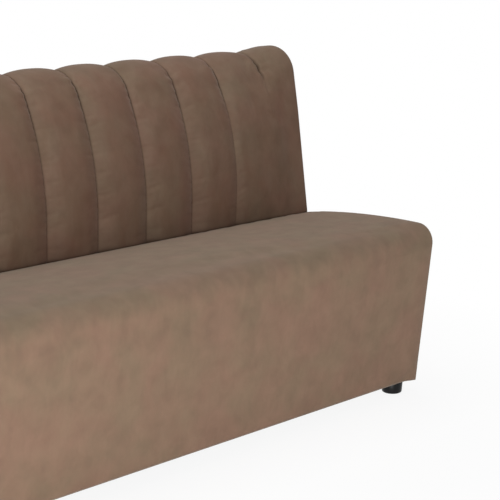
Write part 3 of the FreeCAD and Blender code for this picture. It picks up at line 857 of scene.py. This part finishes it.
class Shader:
    """A principled material and short ways to add the nodes that feed it."""

    def __init__(self, name):
        self.material = bpy.data.materials.new(name)
        self.material.use_nodes = True
        self.tree = self.material.node_tree
        self.bsdf = self.tree.nodes["Principled BSDF"]
        self.coords = self.add("ShaderNodeTexCoord")

    def add(self, kind, operation=None):
        """New node, with its operation where it has a choice of them."""
        node = self.tree.nodes.new(kind)
        if operation:
            node.operation = operation
        return node

    def link(self, source, target):
        self.tree.links.new(source, target)

    def feed(self, socket, source):
        self.link(source, self.bsdf.inputs[socket])

    def set(self, socket, value):
        self.bsdf.inputs[socket].default_value = value

    def mapped(self, scale):
        node = self.add("ShaderNodeMapping")
        node.inputs["Scale"].default_value = scale
        self.link(self.coords.outputs["Object"], node.inputs["Vector"])
        return node.outputs["Vector"]

    def noise(self, scale, detail=3.0, stretch=EVEN, distortion=0.0):
        node = self.add("ShaderNodeTexNoise")
        node.inputs["Scale"].default_value = scale
        node.inputs["Detail"].default_value = detail
        node.inputs["Distortion"].default_value = distortion
        self.link(self.mapped(stretch), node.inputs["Vector"])
        return node.outputs["Fac"]

    def ramp(self, source, stops):
        node = self.add("ShaderNodeValToRGB")
        ramp = node.color_ramp
        while len(ramp.elements) < len(stops):
            ramp.elements.new(0.5)
        for element, (position, colour) in zip(ramp.elements, stops):
            element.position = position
            element.color = (*colour, 1.0)
        self.link(source, node.inputs["Fac"])
        return node.outputs["Color"]

    def blend(self, kind, factor, a, b):
        node = self.add("ShaderNodeMix")
        node.data_type = "RGBA"
        node.blend_type = kind
        if isinstance(factor, float):
            node.inputs[0].default_value = factor
        else:
            self.link(factor, node.inputs[0])
        self.link(a, node.inputs[6])
        self.link(b, node.inputs[7])
        return node.outputs[2]

    def range(self, source, low, high, to_low, to_high):
        node = self.add("ShaderNodeMapRange")
        ends = {"From Min": low, "From Max": high, "To Min": to_low, "To Max": to_high}
        for socket, value in ends.items():
            node.inputs[socket].default_value = value
        self.link(source, node.inputs["Value"])
        return node.outputs["Result"]

    def colour(self, value):
        node = self.add("ShaderNodeRGB")
        node.outputs[0].default_value = (*value, 1.0)
        return node.outputs[0]

    def bump(self, source, strength, distance, under=None):
        node = self.add("ShaderNodeBump")
        node.inputs["Strength"].default_value = strength
        node.inputs["Distance"].default_value = distance
        self.link(source, node.inputs["Height"])
        if under:
            self.link(under, node.inputs["Normal"])
        return node.outputs["Normal"]


def srgb(r, g, b):
    """Linear colour from the 0 to 255 values of a screen colour."""
    out = []
    for value in (r, g, b):
        c = value / 255.0
        out.append(c / 12.92 if c <= 0.04045 else ((c + 0.055) / 1.055) ** 2.4)
    return tuple(out)


def velvet(name, against, along, nap_and_light, span):
    """Mole brown velvet: a tone against the given direction and one along it, partly the pile's lie and
    partly painted light and shade, with smudges, streaks and painted shade in the seams and folds.
    """
    s = Shader("velvet_" + name)
    # Tone by how far a face turns to the nap-and-light direction: partly the nap, partly painted light and
    # shade
    nap_and_light_facing = s.add("ShaderNodeVectorMath", "DOT_PRODUCT")
    nap_and_light_facing.inputs[1].default_value = nap_and_light
    s.link(s.coords.outputs["Normal"], nap_and_light_facing.inputs[0])
    brush = s.noise(**BRUSH_NOISE)
    nap_and_light_laid = s.add("ShaderNodeMath", "ADD")
    s.link(nap_and_light_facing.outputs["Value"], nap_and_light_laid.inputs[0])
    s.link(s.range(brush, *NOISE_SPAN, -BRUSHED, BRUSHED), nap_and_light_laid.inputs[1])
    lie = s.range(nap_and_light_laid.outputs[0], *span, 0.0, 1.0)
    colour = s.blend("MIX", lie, s.colour(srgb(*against)), s.colour(srgb(*along)))
    hue = s.ramp(s.noise(**PATCH_NOISE), PATCH_TINTS)
    colour = s.blend("MULTIPLY", 1.0, colour, hue)
    smudge = s.noise(**SMUDGE_NOISE)
    colour = s.blend("MULTIPLY", 1.0, colour, s.ramp(smudge, SMUDGE_TINTS))
    grain = s.ramp(s.noise(**STREAK_NOISE), STREAK_TINTS)
    colour = s.blend("MULTIPLY", STREAK_SHARE, colour, grain)
    # Painted shade: the colour is darkened in the seams and folds by the shade kept on the mesh
    crease_shade = s.add("ShaderNodeAttribute")
    crease_shade.attribute_name = "crease_shade"
    shade = s.ramp(crease_shade.outputs["Fac"], CREASE_SHADE_TINTS)
    colour = s.blend("MULTIPLY", 1.0, colour, shade)
    s.feed("Base Color", colour)
    s.feed("Roughness", s.range(smudge, *NOISE_SPAN, *VELVET_ROUGHNESS))
    ruffle = s.bump(s.noise(**RUFFLE_NOISE), **RUFFLE_RELIEF)
    s.feed("Normal", s.bump(s.noise(**PILE_NOISE), **PILE_RELIEF, under=ruffle))
    for socket, value in VELVET_GLOSS.items():
        s.set(socket, value)
    return s.material


def plain(name, dark, light, scale, roughness, relief, stretch):
    """Shader whose colour, roughness and relief follow one noise."""
    s = Shader(name)
    field = s.noise(scale, PLAIN_DETAIL, stretch)
    s.feed("Base Color", s.ramp(field, list(zip(NOISE_SPAN, (srgb(*dark), srgb(*light))))))
    s.feed("Roughness", s.range(field, *NOISE_SPAN, *roughness))
    s.feed("Normal", s.bump(field, PLAIN_RELIEF, relief))
    return s


def slot_materials():
    """Materials by the record's slots, for the CAD nodes that stay and most new pieces."""
    shaders = {slot: plain(slot, *values) for slot, values in PLAIN.items()}
    shaders["zinc_steel"].set("Metallic", 1.0)
    shaders["foot_plastic"].set("Specular IOR Level", FOOT_SPECULAR)
    return {slot: shader.material for slot, shader in shaders.items()}


def dress_frame(materials):
    """Put a slot's material on each CAD node."""
    for row in frame["record"]["subparts"]:
        mesh = frame["nodes"][row["node"]].data
        mesh.materials.clear()
        mesh.materials.append(materials[row["material_slot"]])


# Camera, floor and light


def camera():
    """Camera at the place and turn that were fitted to the photograph."""
    ahead = Vector((math.sin(CAMERA_TURN), math.cos(CAMERA_TURN), 0.0)) * math.cos(CAMERA_TILT)
    ahead.z = -math.sin(CAMERA_TILT)
    right = Vector((math.cos(CAMERA_TURN), -math.sin(CAMERA_TURN), 0.0))
    up = right.cross(ahead)
    right, up = (
        right * math.cos(CAMERA_ROLL) + up * math.sin(CAMERA_ROLL),
        up * math.cos(CAMERA_ROLL) - right * math.sin(CAMERA_ROLL),
    )
    data = bpy.data.cameras.new("camera")
    data.sensor_fit = "HORIZONTAL"
    data.sensor_width = SENSOR
    data.lens = FOCAL_PIXELS / IMAGE_SIDE * SENSOR
    lens = bpy.data.objects.new("camera", data)
    turn = Matrix((right, up, -ahead)).transposed().to_4x4()
    lens.matrix_world = Matrix.Translation(CAMERA_PLACE) @ turn
    bpy.context.scene.collection.objects.link(lens)
    bpy.context.scene.camera = lens


def area_light(name, place, target, size, power):
    data = bpy.data.lights.new(name, "AREA")
    data.shape = "RECTANGLE"
    data.size, data.size_y = size
    data.energy = power
    lamp = bpy.data.objects.new(name, data)
    lamp.location = place
    lamp.rotation_mode = "QUATERNION"
    lamp.rotation_quaternion = (Vector(target) - Vector(place)).to_track_quat("-Z", "Y")
    bpy.context.scene.collection.objects.link(lamp)


def white_rays(tree):
    """1 for the rays that see the surroundings as white: from the camera, off gloss and through glass."""
    path = tree.nodes.new("ShaderNodeLightPath")
    seen = path.outputs["Is Camera Ray"]
    for ray in ("Is Glossy Ray", "Is Transmission Ray"):
        either = tree.nodes.new("ShaderNodeMath")
        either.operation = "MAXIMUM"
        tree.links.new(seen, either.inputs[0])
        tree.links.new(path.outputs[ray], either.inputs[1])
        seen = either.outputs[0]
    return seen


def white_floor():
    """Pale floor, white to the camera away from the object, that keeps the object's shadow."""
    s = Shader("studio_floor")
    s.feed("Base Color", s.ramp(s.noise(FLOOR_SCALE), FLOOR_TONES))
    s.set("Roughness", FLOOR_ROUGHNESS)
    far = s.add("ShaderNodeVectorMath", "LENGTH")
    s.link(s.coords.outputs["Object"], far.inputs[0])
    glow = s.add("ShaderNodeEmission")
    share = s.add("ShaderNodeMixShader")
    weight = s.add("ShaderNodeMath", "MULTIPLY")
    s.link(white_rays(s.tree), weight.inputs[0])
    s.link(s.range(far.outputs["Value"], *FLOOR_DISTANCES, *FLOOR_WHITE), weight.inputs[1])
    s.link(weight.outputs[0], share.inputs[0])
    s.link(s.bsdf.outputs[0], share.inputs[1])
    s.link(glow.outputs[0], share.inputs[2])
    s.link(share.outputs[0], s.tree.nodes["Material Output"].inputs["Surface"])
    mesh = bpy.data.meshes.new("floor")
    corners = [(-FLOOR_HALF, -FLOOR_HALF, 0), (FLOOR_HALF, -FLOOR_HALF, 0)]
    corners += [(FLOOR_HALF, FLOOR_HALF, 0), (-FLOOR_HALF, FLOOR_HALF, 0)]
    mesh.from_pydata(corners, [], [(0, 1, 2, 3)])
    mesh.materials.append(s.material)
    floor = bpy.data.objects.new("floor", mesh)
    bpy.context.scene.collection.objects.link(floor)


def studio():
    """Soft light from the front and above, and a backdrop that is white to the camera."""
    world = bpy.data.worlds.new("studio")
    bpy.context.scene.world = world
    world.use_nodes = True
    tree = world.node_tree
    ground = tree.nodes["Background"]
    ground.inputs["Color"].default_value = WORLD_COLOUR
    ground.inputs["Strength"].default_value = WORLD_STRENGTH
    white = tree.nodes.new("ShaderNodeBackground")
    white.inputs["Color"].default_value = (*WHITE, 1.0)
    white.inputs["Strength"].default_value = 1.0
    share = tree.nodes.new("ShaderNodeMixShader")
    tree.links.new(white_rays(tree), share.inputs[0])
    tree.links.new(ground.outputs[0], share.inputs[1])
    tree.links.new(white.outputs[0], share.inputs[2])
    tree.links.new(share.outputs[0], tree.nodes["World Output"].inputs["Surface"])
    for name, values in LAMPS.items():
        area_light(name, *values)
    bpy.context.scene.view_settings.view_transform = "Standard"


def main():
    camera()
    velvets = {name: velvet(name, *values) for name, values in NAP_AND_LIGHT_VELVETS.items()}
    materials = slot_materials()
    materials["velvet"] = velvets["seat"]
    dress_frame(materials)
    channelled_back(velvets["back"])
    seat(velvets["seat"])
    seat_end_panels(velvets["end"])
    back_end_panels(velvets["end"])
    outside_back(velvets["end"])
    underside(materials["lining_cloth"])
    feet("feet_front", materials["foot_plastic"])
    feet("feet_rear", materials["foot_plastic"])
    white_floor()
    studio()


main()
